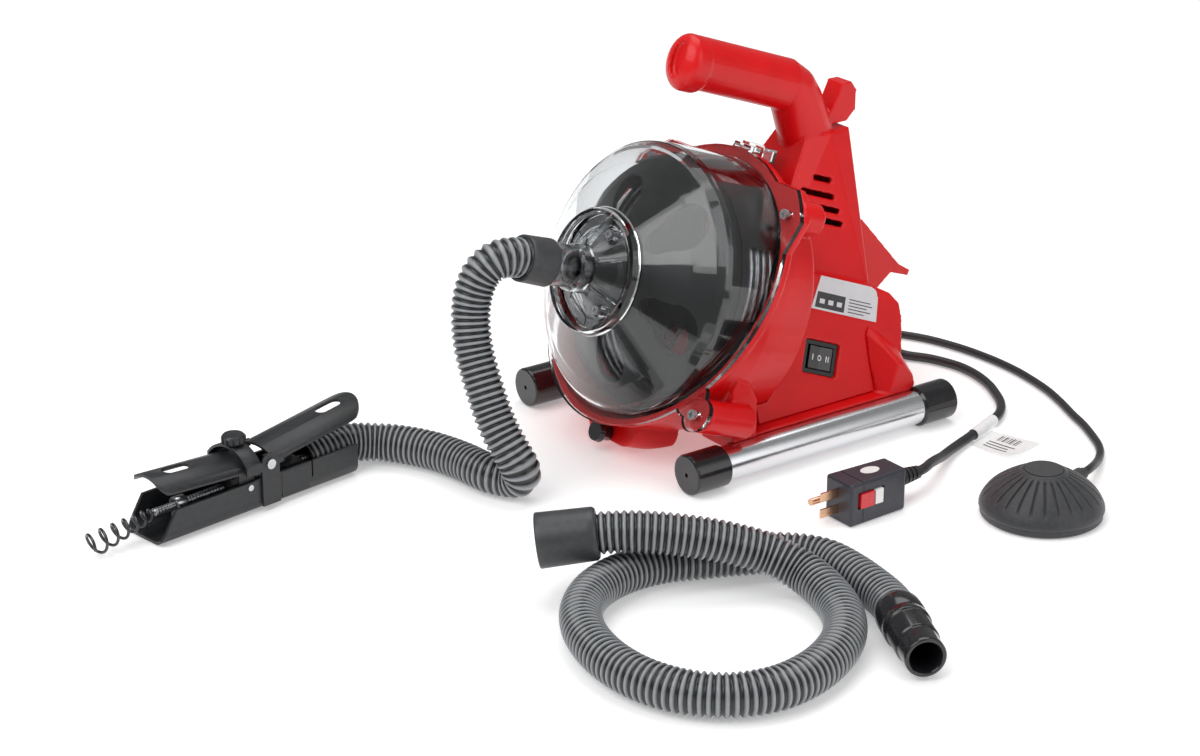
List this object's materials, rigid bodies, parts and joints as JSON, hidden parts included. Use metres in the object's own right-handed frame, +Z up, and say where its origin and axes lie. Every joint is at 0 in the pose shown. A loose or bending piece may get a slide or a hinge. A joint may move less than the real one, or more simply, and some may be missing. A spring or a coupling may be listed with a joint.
{
  "type": "drain snake machine",
  "caption": "Portable drain snake machine: tilted cable drum behind a clear cover on a red housing, guide hose, hand feed tool, foot pedal, mains lead and a spare hose.",
  "frame": {"origin": "on the floor, midway between the two base tubes and halfway along them", "axes": "+Z up, -Y towards the cable outlet at the front, +X towards the switch side"},
  "size_m": [0.5174, 0.7264, 0.2953],
  "materials": {
    "housing_red": "gloss",
    "cover_clear": "gloss",
    "drum_black": "satin",
    "cap_black": "gloss",
    "tube_steel": "polished",
    "hardware_steel": "satin",
    "cable_steel": "satin",
    "auger_steel": "dark",
    "brass": "satin",
    "motor_metal": "satin",
    "belt_rubber": "matte",
    "switch_black": "satin",
    "label_film": "satin",
    "cord_rubber": "satin",
    "plug_plastic": "satin",
    "blade_metal": "bright",
    "button_red": "gloss",
    "button_white": "gloss",
    "tag_white": "matte",
    "hose_plastic": "satin",
    "cuff_plastic": "satin",
    "tool_plastic": "satin",
    "pedal_rubber": "matte"
  },
  "bodies": {
    "machine": {"front_housing": "housing_red", "rear_housing": "housing_red", "clear_cover": "cover_clear", "cover_nose": "cover_clear", "cover_screws": "hardware_steel", "nose_screws": "hardware_steel", "nose_bush": "hardware_steel", "drum_bearings": "hardware_steel", "motor": "motor_metal", "drive_belt": "belt_rubber", "air_switch": "switch_black", "tube_left": "tube_steel", "tube_right": "tube_steel", "cap_front_left": "cap_black", "cap_front_right": "cap_black", "cap_rear_left": "cap_black", "cap_rear_right": "cap_black", "tube_screws": "hardware_steel", "switch_bezel": "switch_black", "rating_label": "label_film", "power_gland": "cord_rubber", "power_cord": "cord_rubber", "cord_boot": "cord_rubber", "plug_body": "plug_plastic", "plug_blades": "blade_metal", "tag_sleeve": "tag_white", "cord_tag": "tag_white", "air_fitting": "brass", "air_hose": "cord_rubber", "pedal_base": "pedal_rubber", "pedal_bellows": "pedal_rubber", "hose_cuff": "cuff_plastic", "guide_hose": "hose_plastic", "tool_shell": "tool_plastic", "tool_bracket": "tool_plastic", "lever_pins": "hardware_steel", "roller_block": "drum_black", "tool_rollers": "hardware_steel", "exit_guide": "hardware_steel", "spare_cuff": "cuff_plastic", "spare_hose": "hose_plastic", "spare_adapter": "cap_black"},
    "drum": {"drum_front": "drum_black", "drum_back": "drum_black", "drum_shaft": "hardware_steel", "drum_pulley": "drum_black", "cable_coil": "cable_steel", "cable_riser": "drum_black"},
    "motor_rotor": {"motor_shaft": "hardware_steel", "motor_fan": "drum_black"},
    "rocker": {"switch_rocker": "switch_black"},
    "drain_stopper": {"drain_plug": "cap_black"},
    "reset": {"reset_button": "button_red"},
    "test": {"test_button": "button_white"},
    "pedal_top": {"pedal_crown": "pedal_rubber"},
    "knob": {"tool_knob": "tool_plastic"},
    "front_grip": {"front_lever": "tool_plastic"},
    "rear_grip": {"rear_lever": "tool_plastic"},
    "fed_cable": {"tool_cable": "cable_steel"},
    "auger": {"auger_tip": "auger_steel"}
  },
  "joints": [
    {"name": "drum_spin", "type": "hinge", "parent": "machine", "child": "drum", "pos_m": [0, -0.092, 0.125], "axis": [0, 0.9397, -0.342], "continuous": true},
    {"name": "motor_spin", "type": "hinge", "parent": "machine", "child": "motor_rotor", "pos_m": [0, -0.07627, 0.16823], "axis": [0, 0.9397, -0.342], "continuous": true},
    {"name": "cable_feed", "type": "slide", "parent": "machine", "child": "fed_cable", "axis": [0.1564, -0.9877, 0], "range_m": [0, 0.05]},
    {"name": "auger_spin", "type": "hinge", "parent": "fed_cable", "child": "auger", "pos_m": [-0.05783, -0.45024, 0.017], "axis": [0.1549, -0.9781, -0.1392], "continuous": true},
    {"name": "rocker_tilt", "type": "hinge", "parent": "machine", "child": "rocker", "pos_m": [0.06815, 0.019, 0.05999], "axis": [-0.2664, 0.3746, 0.8881], "range_deg": [-12, 12]},
    {"name": "drain_pull", "type": "slide", "parent": "machine", "child": "drain_stopper", "axis": [0, -0.9397, 0.342], "range_m": [0, 0.022]},
    {"name": "reset_press", "type": "slide", "parent": "machine", "child": "reset", "axis": [-1, 0, 0], "range_m": [0, 0.0015], "stiffness_N_per_m": 500},
    {"name": "test_press", "type": "slide", "parent": "machine", "child": "test", "axis": [-1, 0, 0], "range_m": [0, 0.0015], "stiffness_N_per_m": 500},
    {"name": "pedal_press", "type": "slide", "parent": "machine", "child": "pedal_top", "axis": [0, 0, -1], "range_m": [0, 0.008], "stiffness_N_per_m": 2500, "deforming": ["pedal_bellows"]},
    {"name": "knob_turn", "type": "hinge", "parent": "machine", "child": "knob", "pos_m": [-0.06875, -0.3813, 0.045], "axis": [0, 0, 1], "range_deg": [-90, 90]},
    {"name": "front_lever_press", "type": "hinge", "parent": "machine", "child": "front_grip", "pos_m": [-0.06836, -0.38377, 0.0205], "axis": [0.9877, 0.1564, 0], "range_deg": [0, 3], "stiffness_Nm_per_rad": 8},
    {"name": "rear_lever_press", "type": "hinge", "parent": "machine", "child": "rear_grip", "pos_m": [-0.07094, -0.36747, 0.034], "axis": [-0.9877, -0.1564, 0], "range_deg": [0, 3], "stiffness_Nm_per_rad": 8}
  ],
  "couplings": [
    {"joint": "motor_spin", "follows": "drum_spin", "ratio": 4},
    {"joint": "auger_spin", "follows": "drum_spin", "ratio": 1}
  ]
}
